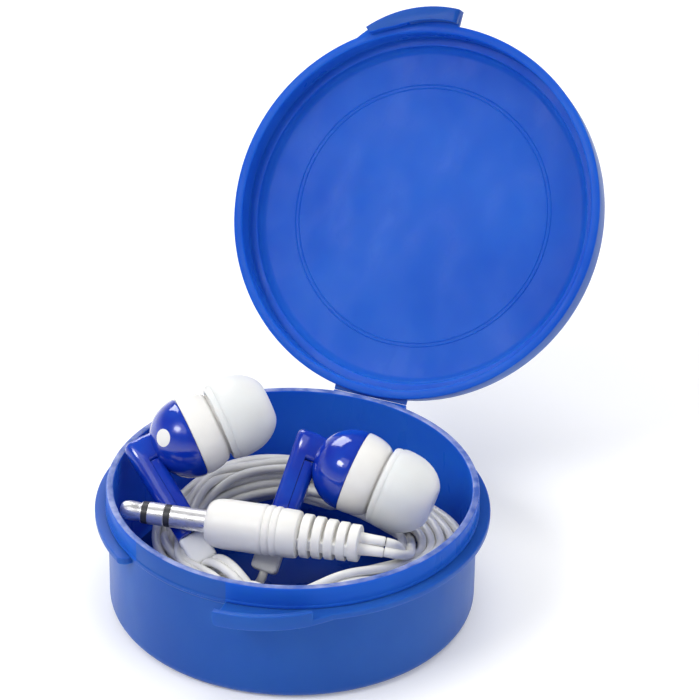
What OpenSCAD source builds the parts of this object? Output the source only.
// In-ear earphones with a 3.5 mm plug, packed with their cord in a round case with a hinged lid.
// Millimetres. Z is up, the origin is the middle of the case's underside, the lid's hinge is at +Y
// and the thumb tabs are at -Y. The lid stands open and both earbuds lie propped above the rim.

/* [Case] */
// Outer radius of the case's body
case_r = 28.75; // [28.6:0.05:28.9]
// Height from the underside to the rim
case_h = 20.5; // [20:0.5:22]
// Thickness of the case's floor
floor_t = 1.5; // [1.2:0.1:1.6]
// Height of the neck that the lid fits over
neck_h = 3.65; // [3.6:0.05:4]
// Outer radius of the neck
neck_r = 29.0; // [28.9:0.05:29.1]
// Inner radius of the case
bore_r = 27.85; // [27.8:0.05:28]
// Outer radius of the ledge below the neck
ledge_r = 30.8; // [30.5:0.1:30.9]
// Thickness of the ledge below the neck
ledge_t = 1.1; // [1:0.1:1.5]

/* [Lid] */
// Outer radius of the lid at its rim
lid_r = 31.2; // [31.1:0.05:31.2]
// Inner radius of the lid at its rim
lid_bore_r = 29.7; // [29.6:0.05:29.8]
// Height of the lid outside
lid_h = 6.3; // [6:0.1:7]
// Thickness of the lid's top
lid_top_t = 1.4; // [1:0.1:1.6]
// Angle between the closed lid and the lid as it stands
lid_angle = 126; // [60:1:126]
// Length of the hinge strap
strap_w = 12.6; // [8:0.2:14]

/* [Earbuds] */
// Radius of the ball-shaped rear shell
dome_r = 6.5; // [6.4:0.05:6.6]
// Wall of the rear shell
shell_t = 1.0; // [0.8:0.1:1.1]
// Length from the shells' joint to the front of the ear tip
front_l = 13.5; // [13.2:0.1:14]
// Largest radius of the soft ear tip
tip_r = 6.45; // [6.2:0.05:6.5]
// Distance from the shells' joint back to the middle of the stem
stem_back = 7.9; // [7.8:0.1:8.2]
// Angle that the stem leans forward
stem_lean = 5; // [3:1:7]
// Length of the stem below the earbud's axis
stem_l = 15.0; // [14:0.5:15]
// Length of the stem above the earbud's axis
stem_top = 2.6; // [2.4:0.1:2.8]
// Width and depth of the stem
stem_w = 3.8; // [3.6:0.1:3.8]

/* [Plug] */
// Diameter of the jack
jack_d = 3.5; // [3.5]
// Length of the jack
jack_l = 14; // [14]
// Length of the moulded grip
grip_l = 14.6; // [14:0.1:15]
// Radius of the moulded grip
grip_r = 3.9; // [3.6:0.1:3.9]
// Number of ribs on the strain relief
rib_count = 5; // [3:1:5]

/* [Cord] */
// Diameter of a single cord, and the thickness of the twin cord
cord_d = 1.4; // [1.2:0.1:1.4]
// Inner radius of the coiled cord
coil_bore_r = 14; // [13:0.5:15]
// Height of the coiled cord's top above the table
coil_top = 8.8; // [8:0.2:9]

/* [Hidden] */

fine = 96;
smooth = 64;
eps = 0.01;
blue = "royalblue";
deep_blue = "mediumblue";
white = "whitesmoke";
steel = "lightsteelblue";

// Levels and places on the case
shoulder_z = case_h - neck_h;
seat_gap = 0.12;
foot_round = 1.8;
hinge_y = 31.8;
hinge_z = 18.1;
bead_r = 0.35;
bead_gap = 0.05;
tab_r = 20.15;
tab_x = 1.1;
tab_y = -13.7;
tab_rise = 1.4;
tab_lip_w = 15.2;
tab_corner = 0.8;
base_tab_start = 1.5;
gap_start = -122;
gap_end = -87;

// Places of the two earbuds: the middle of the shells' joint, and its turn about X, Y and Z
left_place = [8.1, 4.8, 22];
left_turn = [-113.9, 47.4, -103.9];
right_place = [-18.2, 1.6, 23.5];
right_turn = [-67.4, 33.2, -36.2];

// Stations along an earbud's axis
spigot_l = 1.2;
spigot_r = dome_r - shell_t - 0.17;
cavity_r = 4.9;
cavity_end = 3.0;
housing_end = 4.4;
nozzle_r = 2.6;
nozzle_bore_r = 1.8;
nozzle_end = 11.6;
tip_back = 4.7;
tip_core_r = 3.4;
channel_r = 1.15;
boot_l = 5.0;
boot_w = 2.1;
boot_t = 1.45;
boot_x = 0.15;
split = -0.3;
cover_top = 1.6;
cover_gap = 0.03;

// The plug lies across the case on the coil, with the jack's end at plug_place
plug_place = [-23.4, -13.2, 17.45];
plug_turn = 9;
jack_r = jack_d / 2;
ribs_l = 9.5;
rib_pitch = ribs_l / rib_count;
rib_t = 1.4;
stub_l = 3.9;
stub_low = 0.62;
stub_side = 0.53;
twin_pitch = cord_d - 0.1;

// Routes of the cord outside its coil, points chosen along the way it lies
main_route = [[18.1, -6.6, 17.45], [19.3, -6.2, 17.2], [20, -4.8, 16.2], [19.6, -2.4, 14.4], [18.6, 0.8, 12.6],
    [17.4, 4.8, 11], [15.6, 9.2, 9.8], [12.4, 13.4, 8.6]];
left_route = [[-1.02, -8.49, 9.29], [-1.1, -9.14, 8.53], [-1.6, -9.4, 7.2], [-3, -9.2, 5.9],
    [-5, -9.6, 5.1], [-8, -10.6, 4.8], [-10.8, -11.8, 4.6]];
right_route = [[-9.41, -11.91, 10.79], [-8.6, -12.4, 10.2], [-7.4, -13.6, 9.6], [-6, -15, 9], [-4, -16.2, 8.6]];

// ---------- shared shapes ----------

// A sector of a ring about Z, from one angle to another
module ring_sector(inner, outer, from, to, height) {
    rotate([0, 0, from])
        rotate_extrude(angle = to - from, $fn = fine)
            translate([inner, 0])
                square([outer - inner, height]);
}

// A disc or a ring about Z between two heights
module ring(inner, outer, low, high) {
    translate([0, 0, low])
        difference() {
            cylinder(r = outer, h = high - low, $fn = smooth);
            if (inner > 0)
                translate([0, 0, -1])
                    cylinder(r = inner, h = high - low + 2, $fn = smooth);
        }
}

// The outline of a thumb tab: a slice of a small circle that stands out of a larger one, on the
// side 1 or -1 of the middle, from one distance to another
module tab_outline(side, from, to, inner) {
    difference() {
        intersection() {
            translate([side * tab_x, tab_y])
                circle(r = tab_r, $fn = fine);
            translate([side * (from + to) / 2, -tab_r])
                square([to - from, tab_r * 2], center = true);
        }
        circle(r = inner, $fn = fine);
    }
}

// A thumb tab's lip along the rim of its plate
module tab_lip(side, from, inner, thick, high) {
    linear_extrude(high)
        difference() {
            tab_outline(side, from, tab_lip_w, inner);
            translate([side * tab_x, tab_y])
                circle(r = tab_r - thick, $fn = fine);
        }
}

// The waste that rounds the lower corner where a thumb tab starts
module tab_corner_waste(side, from) {
    half = 8;
    difference() {
        translate([side * (from + tab_corner / 2), -ledge_r - half - 0.2, tab_corner / 2 - eps])
            cube([tab_corner + eps * 2, half * 2, tab_corner], center = true);
        translate([side * (from + tab_corner), -ledge_r - half * 2 - 1, tab_corner])
            rotate([-90, 0, 0])
                cylinder(r = tab_corner, h = half * 2 + 3, $fn = smooth);
    }
}

// The outline of a bar with rounded corners, from its half widths
function round_bar(w, h, r) =
    [for (c = [[1, 1, 0], [-1, 1, 90], [-1, -1, 180], [1, -1, 270]], a = [0:22.5:90])
        [c[0] * (w - r) + r * cos(c[2] + a), c[1] * (h - r) + r * sin(c[2] + a)]];

// A tube swept along a route: an oval of two half widths, one ring at each point
function unit(v) = v / norm(v);
function heading(route, i) =
    unit(route[min(i + 1, len(route) - 1)] - route[max(i - 1, 0)]);
function across(route, i) = unit(cross([0, 0, 1], heading(route, i)));
function over(route, i) = cross(heading(route, i), across(route, i));
function turned(route, i, a) = across(route, i) * cos(a) + over(route, i) * sin(a);
function sweep_ring(route, i, wide, thick, sides, roll) =
    [for (k = [0:sides - 1])
        route[i] + turned(route, i, roll) * wide * cos(360 * k / sides)
            + turned(route, i, roll + 90) * thick * sin(360 * k / sides)];

// The tube starts rolled about its route and lies flat after `level` points
module swept_tube(route, wide, thick, sides = 8, roll = 0, level = 8) {
    rings = len(route);
    points = [for (i = [0:rings - 1])
        each sweep_ring(route, i, wide, thick, sides, roll * max(0, 1 - i / level))];
    walls = [for (i = [0:rings - 2], k = [0:sides - 1])
        let (a = i * sides, b = a + sides, n = (k + 1) % sides)
            each [[a + k, b + k, b + n], [a + k, b + n, a + n]]];
    first_cap = [[for (k = [0:sides - 1]) k]];
    last_cap = [[for (k = [sides - 1:-1:0]) (rings - 1) * sides + k]];
    polyhedron(points = points, faces = concat(walls, first_cap, last_cap));
}

// Smooths a route: every span is cut into steps along a curve through its points
function bend(a, b, c, d, t) =
    0.5 * (2 * b + (c - a) * t + (2 * a - 5 * b + 4 * c - d) * t * t + (3 * b - a - 3 * c + d) * t * t * t);
function smooth_route(p, steps) =
    concat([for (i = [0:len(p) - 2], s = [0:steps - 1])
        bend(p[max(i - 1, 0)], p[i], p[i + 1], p[min(i + 2, len(p) - 1)], s / steps)], [p[len(p) - 1]]);

// ---------- case ----------

module case_profile() {
    polygon([
        [0, 0], [case_r - foot_round, 0],
        each [for (a = [-75:15:0]) [case_r - foot_round + foot_round * cos(a),
            foot_round + foot_round * sin(a)]],
        [case_r, shoulder_z], [neck_r, shoulder_z],
        [neck_r, case_h - 0.2], [neck_r - 0.2, case_h], [bore_r + 0.2, case_h], [bore_r, case_h - 0.2],
        [bore_r, floor_t + 1.2], [bore_r - 0.35, floor_t + 0.35], [bore_r - 1.2, floor_t], [0, floor_t]
    ]);
}

// The case's body with its neck, ledge, thumb tab and hinge foot
module case_base() {
    color(blue)
        union() {
            rotate_extrude($fn = fine)
                case_profile();
            translate([0, 0, shoulder_z - ledge_t])
                ring_sector(neck_r - 0.6, ledge_r, gap_end, 360 + gap_start, ledge_t);
            // A faint bead round the foot of the neck, which the closed lid grips
            translate([0, 0, shoulder_z])
                ring_sector(neck_r - 0.3, neck_r + 0.15, 0, 360, 0.5);
            translate([0, 0, shoulder_z - ledge_t])
                difference() {
                    union() {
                        linear_extrude(ledge_t)
                            tab_outline(1, base_tab_start, tab_r, neck_r - 0.6);
                        tab_lip(1, base_tab_start, lid_r + 0.15, 0.9, ledge_t + tab_rise);
                    }
                    tab_corner_waste(1, base_tab_start);
                }
        }
}

// The thin strap that joins the base's ledge to the lid, with the bead that it bends about
module hinge_strap() {
    foot_low = shoulder_z - ledge_t;
    strap_y = hinge_y - bead_r;
    color(blue)
        union() {
            translate([-strap_w / 2, hinge_y, hinge_z])
                rotate([0, 90, 0])
                    cylinder(r = bead_r, h = strap_w, $fn = 32);
            translate([-strap_w / 2, strap_y, foot_low])
                cube([strap_w, bead_r * 2, hinge_z - foot_low]);
            difference() {
                translate([-strap_w / 2, ledge_r - 1.2, foot_low])
                    cube([strap_w, strap_y - ledge_r + 1.2 + eps, ledge_t]);
                translate([0, 0, foot_low - 1])
                    cylinder(r = ledge_r, h = ledge_t + 2, $fn = fine);
            }
        }
}

module lid_profile() {
    low = shoulder_z + seat_gap;
    top = shoulder_z + lid_h;
    ceiling = top - lid_top_t;
    step_z = case_h + seat_gap;
    inner_r = 28.5;
    polygon([
        [lid_bore_r, low], [lid_r, low], [lid_r - 0.3, top - 1.4],
        each [for (a = [15:15:75]) [lid_r - 1.7 + 1.4 * cos(a), top - 1.4 + 1.4 * sin(a)]],
        [lid_r - 1.7, top], [0, top], [0, ceiling],
        [inner_r - 1.6, ceiling], [inner_r - 0.8, ceiling - 0.12], [inner_r - 0.2, ceiling - 0.5],
        [inner_r, step_z], [lid_bore_r - 0.1, step_z]
    ]);
}

// Turns a shape from the closed lid's place to where the lid stands
module as_lid_stands() {
    translate([0, hinge_y, hinge_z])
        rotate([-lid_angle, 0, 0])
            translate([0, -hinge_y, -hinge_z])
                children();
}

// The lid with its thumb tab, the fine ring under its ceiling and the lug that joins the strap
module case_lid() {
    low = shoulder_z + seat_gap;
    ceiling = shoulder_z + lid_h - lid_top_t;
    plate_t = 1.2;
    lug_t = 0.6;
    color(blue)
        as_lid_stands()
            union() {
                rotate_extrude($fn = fine)
                    lid_profile();
                translate([0, 0, ceiling - 0.25])
                    ring_sector(21.3, 21.9, 0, 360, 0.25 + eps);
                translate([0, 0, low])
                    linear_extrude(plate_t)
                        tab_outline(-1, 0, tab_r, lid_bore_r + 0.5);
                translate([0, 0, low - tab_rise])
                    difference() {
                        tab_lip(-1, 0, lid_r - 0.4, 1.5, tab_rise + plate_t);
                        tab_corner_waste(-1, 0);
                    }
                difference() {
                    translate([-strap_w / 2, hinge_y - bead_r - bead_gap - 2, hinge_z - lug_t / 2])
                        cube([strap_w, 2, lug_t]);
                    translate([0, 0, hinge_z - lug_t])
                        cylinder(r = lid_r - 0.5, h = lug_t * 2, $fn = fine);
                }
            }
}

// ---------- earbuds ----------
// An earbud is drawn with its axis on Z, the joint of its two shells at Z = 0 and the ear tip
// upward. Its stem points to +X. The mark lies on the side given by `side`, -1 or 1 along Y.

module at_left() {
    translate(left_place)
        rotate(left_turn)
            children();
}

module at_right() {
    translate(right_place)
        rotate(right_turn)
            children();
}

// Puts a shape drawn along Z on the stem's line, with Z = 0 where the earbud's axis meets it
module along_stem() {
    translate([0, 0, -stem_back])
        rotate([0, 90 - stem_lean, 0])
            children();
}

// The stem's section: a square with cut corners
module stem_section(grow = 0) {
    w = stem_w / 2 + grow;
    c = w - 1.0;
    polygon([[w, c], [c, w], [-c, w], [-w, c], [-w, -c], [-c, -w], [c, -w], [w, -c]]);
}

module stem_body() {
    along_stem()
        translate([0, 0, -stem_top])
            linear_extrude(stem_top + stem_l)
                stem_section();
}

// The room of the stem's cover: the half of the stem that faces the earbud, below the arm
module cover_room(gap) {
    along_stem()
        translate([-stem_w / 2 - gap, -stem_w / 2 - gap, cover_top - gap])
            cube([stem_w / 2 + split + gap * 2, stem_w + gap * 2, stem_l]);
}

// The room inside the stem for the cord, its knot and the strain relief
module stem_channel() {
    along_stem() {
        translate([0, 0, -1.3])
            cylinder(r = channel_r, h = stem_l + 3, $fn = smooth);
    }
}

// The ball-shaped rear shell with the arm and the far half of the stem
module rear_shell(side) {
    color(deep_blue)
        difference() {
            union() {
                intersection() {
                    sphere(r = dome_r, $fn = fine);
                    translate([0, 0, -dome_r])
                        cube([dome_r * 2, dome_r * 2, dome_r * 2], center = true);
                }
                translate([-stem_top, -1.8, -stem_back])
                    cube([3.8, 3.6, stem_back - 4.4]);
                stem_body();
            }
            intersection() {
                sphere(r = dome_r - shell_t, $fn = fine);
                translate([0, 0, -dome_r + eps])
                    cube([dome_r * 2, dome_r * 2, dome_r * 2 + 2 * eps], center = true);
            }
            stem_channel();
            translate([-0.7, 0, -stem_back])
                cylinder(r = 0.8, h = stem_back - 3, $fn = 32);
            mark_seat(side);
            cover_room(cover_gap);
        }
}

// The cover that closes the stem over the cord and its knot
module stem_cover() {
    color(deep_blue)
        difference() {
            intersection() {
                stem_body();
                cover_room(0);
            }
            stem_channel();
        }
}

// The mark's flat seat, cut half way round the ball between its pole and its side
module at_mark(side) {
    rotate([side * 131, 0, 0])
        children();
}

module mark_seat(side) {
    at_mark(side)
        translate([0, 0, dome_r - 0.32])
            cylinder(r = 1.45, h = 2, $fn = 48);
}

module mark_disc(side) {
    color(white)
        at_mark(side)
            translate([0, 0, dome_r - 0.32])
                cylinder(r = 1.4, h = 0.24, $fn = 48);
}

// The white front housing with its spigot, driver seat and nozzle
module front_housing() {
    color(white)
        rotate_extrude($fn = fine)
            polygon([
                [spigot_r, -spigot_l], [spigot_r, 0], [dome_r, 0], [dome_r, 0.9], [dome_r - 0.08, 2],
                [dome_r - 0.25, 3.1], [dome_r - 0.5, 3.8], [dome_r - 0.95, housing_end],
                [nozzle_r, housing_end], [nozzle_r, nozzle_end - 1.6], [nozzle_r + 0.35, nozzle_end - 1.4],
                [nozzle_r + 0.1, nozzle_end - 0.3], [nozzle_r - 0.2, nozzle_end],
                [nozzle_bore_r + 0.25, nozzle_end], [nozzle_bore_r + 0.25, nozzle_end - 0.4],
                [nozzle_bore_r, nozzle_end - 0.4], [nozzle_bore_r, cavity_end + 0.6],
                [nozzle_bore_r + 1.2, cavity_end], [cavity_r, cavity_end], [cavity_r, -spigot_l]
            ]);
}

// The soft ear tip: a mushroom cap on a core tube that grips the nozzle
module ear_tip() {
    cap_t = 0.65;
    color(white)
        rotate_extrude($fn = fine)
            polygon([
                [5.35, tip_back + 0.1], [5.75, tip_back], [6.1, 5.1], [tip_r - 0.05, 5.9], [tip_r, 6.8],
                [tip_r - 0.02, 7.8], [tip_r - 0.12, 8.8], [6.05, 9.8], [5.65, 10.8], [5.1, 11.7], [4.5, 12.5],
                [3.9, 13.1], [3.3, front_l - 0.1], [2.8, front_l], [2.2, front_l - 0.1], [1.9, front_l - 0.5],
                [1.9, nozzle_end + 0.05], [nozzle_r + 0.03, nozzle_end + 0.05],
                [nozzle_r + 0.4, nozzle_end - 1.45], [nozzle_r + 0.03, nozzle_end - 1.75],
                [nozzle_r + 0.03, housing_end + 0.4], [tip_core_r, housing_end + 0.4], [tip_core_r, 11.4],
                [4.6, 11.2], [5.15, 10.4], [5.5, 9.6], [5.75, 8.6], [5.82, 7.6], [5.82, 6.6], [5.75, 5.9], [5.35, 5.3]
            ]);
}

module nozzle_mesh() {
    color(steel)
        ring(0, nozzle_bore_r + 0.22, nozzle_end - 0.38, nozzle_end - 0.18);
}

module driver_frame() {
    color("dimgray")
        rotate_extrude($fn = smooth)
            polygon([[3.22, -0.4], [cavity_r - 0.03, -0.4], [cavity_r - 0.03, 2.08], [4.25, 2.08],
                [4.25, 0.3], [3.22, 0.3]]);
}

module diaphragm() {
    color("silver")
        rotate_extrude($fn = smooth)
            polygon([[0, 2.5], [1.2, 2.44], [1.9, 2.22], [2.35, 2.12], [3.2, 2.32], [4.25, 2.12],
                [cavity_r - 0.03, 2.12], [cavity_r - 0.03, 2.95], [4.3, 2.95], [4.3, 2.3], [3.2, 2.44],
                [2.35, 2.24], [1.9, 2.34], [1.2, 2.56], [0, 2.62]]);
}

module voice_coil() {
    color("peru")
        ring(1.95, 2.35, 0.3, 2.1);
}

module magnet() {
    color("gray")
        ring(0, 1.6, -0.9, 0.5);
}

module yoke() {
    color(steel)
        rotate_extrude($fn = smooth)
            polygon([[0, -1.6], [3.2, -1.6], [3.2, 1], [2.6, 1], [2.6, -0.9], [0, -0.9]]);
}

module top_plate() {
    color(steel)
        ring(0, 1.7, 0.5, 1);
}

module terminal_board() {
    color("seagreen")
        ring(0, 2.6, -2.2, -1.6);
}

module acoustic_damper() {
    color("black")
        ring(3.3, 4.7, -0.72, -0.4);
}

// The knot that keeps the cord from being pulled out of the stem
module cable_knot() {
    color(white)
        along_stem()
            translate([0, 0, 0.2])
                rotate_extrude($fn = smooth)
                    polygon([[0, -1.1], [0.75, -0.9], [1.08, 0], [0.75, 0.9], [0, 1.1]]);
}

// The soft block below the stem that the cord leaves through, with a plug that holds it in the stem
module strain_relief() {
    plug_l = 1.6;
    color(white)
        along_stem()
            translate([0, 0, stem_l])
                difference() {
                    union() {
                        intersection() {
                            translate([boot_x, 0, 0])
                                linear_extrude(boot_l)
                                    polygon(round_bar(boot_w, boot_t, 0.6));
                            translate([boot_x, boot_t + 1, 0])
                                rotate([90, 0, 0])
                                    linear_extrude(boot_t * 2 + 2)
                                        polygon(round_bar(boot_w, boot_l, 0.7));
                        }
                        translate([0, 0, -plug_l])
                            cylinder(r = channel_r - 0.02, h = plug_l + 1, $fn = smooth);
                    }
                    translate([0, 0, -plug_l - 1])
                        cylinder(r = cord_d / 2 + 0.03, h = boot_l + plug_l + 2, $fn = smooth);
                }
}

// ---------- plug ----------
// The plug is drawn with its axis on Z and the end of the jack at Z = 0.

module at_plug() {
    translate(plug_place)
        rotate([0, 90, plug_turn])
            children();
}

contact_1 = 3.65;
insulator_1 = 4.6;
contact_2 = 7.25;
insulator_2 = 8.2;
pin_r = 0.55;
tube_r = 0.95;

module plug_tip_contact() {
    color(steel)
        at_plug()
            rotate_extrude($fn = smooth)
                polygon([[0, 0], [0.75, 0.08], [1.15, 0.32], [1.4, 0.75], [1.5, 1.3], [1.52, 1.8], [1.42, 3],
                    [1.35, contact_1 - 0.35], [1.62, contact_1 - 0.2], [1.62, contact_1],
                    [pin_r, contact_1], [pin_r, jack_l + 3], [0, jack_l + 3]]);
}

module plug_front_insulator() {
    color("black")
        at_plug()
            rotate_extrude($fn = smooth)
                polygon([[pin_r + eps, contact_1 + eps], [jack_r, contact_1 + eps], [jack_r, insulator_1],
                    [tube_r - 0.15, insulator_1], [tube_r - 0.15, jack_l + 2], [pin_r + eps, jack_l + 2]]);
}

module plug_ring_contact() {
    color(steel)
        at_plug()
            rotate_extrude($fn = smooth)
                polygon([[tube_r - 0.14, insulator_1 + eps], [jack_r, insulator_1 + eps], [jack_r, contact_2],
                    [tube_r + 0.1, contact_2], [tube_r + 0.1, jack_l + 1.4], [tube_r - 0.14, jack_l + 1.4]]);
}

module plug_rear_insulator() {
    color("black")
        at_plug()
            rotate_extrude($fn = smooth)
                polygon([[tube_r + 0.11, contact_2 + eps], [jack_r, contact_2 + eps], [jack_r, insulator_2],
                    [tube_r + 0.3, insulator_2], [tube_r + 0.3, jack_l + 0.8], [tube_r + 0.11, jack_l + 0.8]]);
}

module plug_sleeve_contact() {
    color(steel)
        at_plug()
            rotate_extrude($fn = smooth)
                polygon([[tube_r + 0.31, insulator_2 + eps], [jack_r, insulator_2 + eps], [jack_r, jack_l],
                    [2.6, jack_l], [2.6, jack_l + 1], [2, jack_l + 1], [2, jack_l + 2.2], [tube_r + 0.31, jack_l + 2.2]]);
}

// The hard inner block that holds the contacts and their solder tags
module plug_inner_carrier() {
    color("gray")
        at_plug()
            rotate_extrude($fn = smooth)
                polygon([[0, jack_l + 3.02], [1.2, jack_l + 3.02], [1.2, jack_l + 2.22], [2.6, jack_l + 2.22],
                    [2.6, jack_l + 6], [1.8, jack_l + 7], [0, jack_l + 7]]);
}

// The moulded grip with its fine rings, slotted strain relief and the two short cord roots
module plug_grip() {
    rings_at = jack_l + 8.6;
    ribs_at = jack_l + grip_l;
    end = ribs_at + ribs_l;
    core_r = grip_r - 1.7;
    color(white)
        at_plug()
            difference() {
                union() {
                    translate([0, 0, jack_l])
                        rotate_extrude($fn = fine)
                            polygon([[0, 0.02], [2.75, 0.02], [3.2, 0.35], [3.55, 0.9], [grip_r - 0.1, 1.8],
                                [grip_r, 3], [grip_r, 8.4], [grip_r - 0.15, grip_l - 2], [grip_r - 0.25, grip_l],
                                [core_r, grip_l], [core_r, grip_l + ribs_l], [0, grip_l + ribs_l]]);
                    for (i = [0:2])
                        translate([0, 0, rings_at + i * 1.1])
                            cylinder(r = grip_r + 0.05, h = 0.4, $fn = fine);
                    for (i = [0:rib_count - 1])
                        translate([0, 0, ribs_at + (i + 1) * rib_pitch - rib_t])
                            cylinder(r = grip_r - 0.5 - 0.13 * i, h = rib_t, $fn = fine);
                    for (s = [-1, 1])
                        translate([s * stub_low, -s * stub_side, end - 0.5])
                            cylinder(r1 = 1, r2 = 0.68, h = stub_l + 0.5, $fn = 32);
                }
                // Room for the contacts and the inner carrier
                translate([0, 0, jack_l - 1])
                    cylinder(r = 2.62, h = 7.02, $fn = smooth);
                translate([0, 0, jack_l + 6])
                    cylinder(r1 = 2.62, r2 = 1.82, h = 1.02, $fn = smooth);
            }
}

// ---------- cord ----------

module main_cord() {
    color(white)
        swept_tube(smooth_route(main_route, 3), twin_pitch / 2 + cord_d / 2, cord_d / 2,
            roll = atan2(stub_low, stub_side));
}

// The outer shape of the coiled cord that lies round the case's wall
module cord_coil() {
    outer = bore_r - 0.6;
    low = floor_t + 0.1;
    round_r = 2;
    color(white)
        rotate_extrude($fn = fine)
            polygon([
                [coil_bore_r + round_r, low], [outer - round_r, low],
                each [for (a = [-60:30:60]) [outer - round_r + round_r * cos(a),
                    (a < 0 ? low + round_r : coil_top - round_r) + round_r * sin(a)]],
                [outer - round_r, coil_top], [coil_bore_r + round_r, coil_top],
                each [for (a = [120:30:240]) [coil_bore_r + round_r + round_r * cos(a),
                    (a <= 180 ? coil_top - round_r : low + round_r) + round_r * sin(a)]]
            ]);
}

module left_cord() {
    color(white)
        swept_tube(smooth_route(left_route, 3), cord_d / 2, cord_d / 2);
}

module right_cord() {
    color(white)
        swept_tube(smooth_route(right_route, 3), cord_d / 2, cord_d / 2);
}

// ---------- nodes ----------

case_base();
hinge_strap();
case_lid();

at_left() rear_shell(-1);  // left_rear_shell
at_left() stem_cover();  // left_stem_cover
at_left() front_housing();  // left_front_housing
at_left() ear_tip();  // left_ear_tip
at_left() nozzle_mesh();  // left_nozzle_mesh
at_left() driver_frame();  // left_driver_frame
at_left() diaphragm();  // left_diaphragm
at_left() voice_coil();  // left_voice_coil
at_left() magnet();  // left_magnet
at_left() yoke();  // left_yoke
at_left() top_plate();  // left_top_plate
at_left() terminal_board();  // left_terminal_board
at_left() acoustic_damper();  // left_acoustic_damper
at_left() cable_knot();  // left_cable_knot
at_left() strain_relief();  // left_strain_relief
at_left() mark_disc(-1);  // left_mark_disc

at_right() rear_shell(1);  // right_rear_shell
at_right() stem_cover();  // right_stem_cover
at_right() front_housing();  // right_front_housing
at_right() ear_tip();  // right_ear_tip
at_right() nozzle_mesh();  // right_nozzle_mesh
at_right() driver_frame();  // right_driver_frame
at_right() diaphragm();  // right_diaphragm
at_right() voice_coil();  // right_voice_coil
at_right() magnet();  // right_magnet
at_right() yoke();  // right_yoke
at_right() top_plate();  // right_top_plate
at_right() terminal_board();  // right_terminal_board
at_right() acoustic_damper();  // right_acoustic_damper
at_right() cable_knot();  // right_cable_knot
at_right() strain_relief();  // right_strain_relief
at_right() mark_disc(1);  // right_mark_disc

plug_tip_contact();
plug_front_insulator();
plug_ring_contact();
plug_rear_insulator();
plug_sleeve_contact();
plug_inner_carrier();
plug_grip();

main_cord();
cord_coil();
left_cord();
right_cord();
